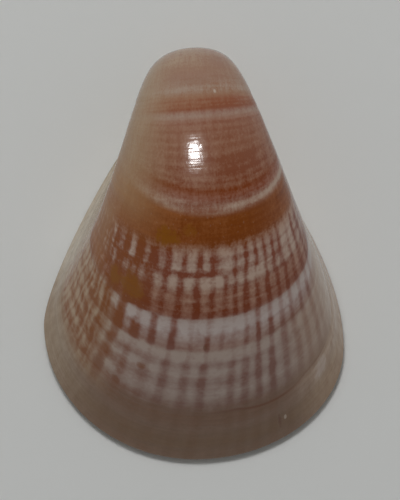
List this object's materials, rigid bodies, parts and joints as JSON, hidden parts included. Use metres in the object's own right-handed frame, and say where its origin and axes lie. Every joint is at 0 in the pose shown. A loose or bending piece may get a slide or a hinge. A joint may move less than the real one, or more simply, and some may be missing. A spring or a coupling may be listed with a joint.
{
  "type": "gem clam shell valve",
  "caption": "Single tall wedge-shaped valve of a gem clam shell: domed banded outer face, flat rim to rest on, hinge plate with teeth, and hollow inner face.",
  "frame": {"origin": "Centre of the bounding box in X and Y, on the plane of the flat rim", "axes": "+Z out through the domed outer face, +Y towards the beak, +X towards the back end of the shell"},
  "size_m": [0.0026, 0.0036, 0.0013],
  "materials": {
    "shell": "gloss"
  },
  "bodies": {
    "root": {"valve": "shell"}
  },
  "joints": []
}
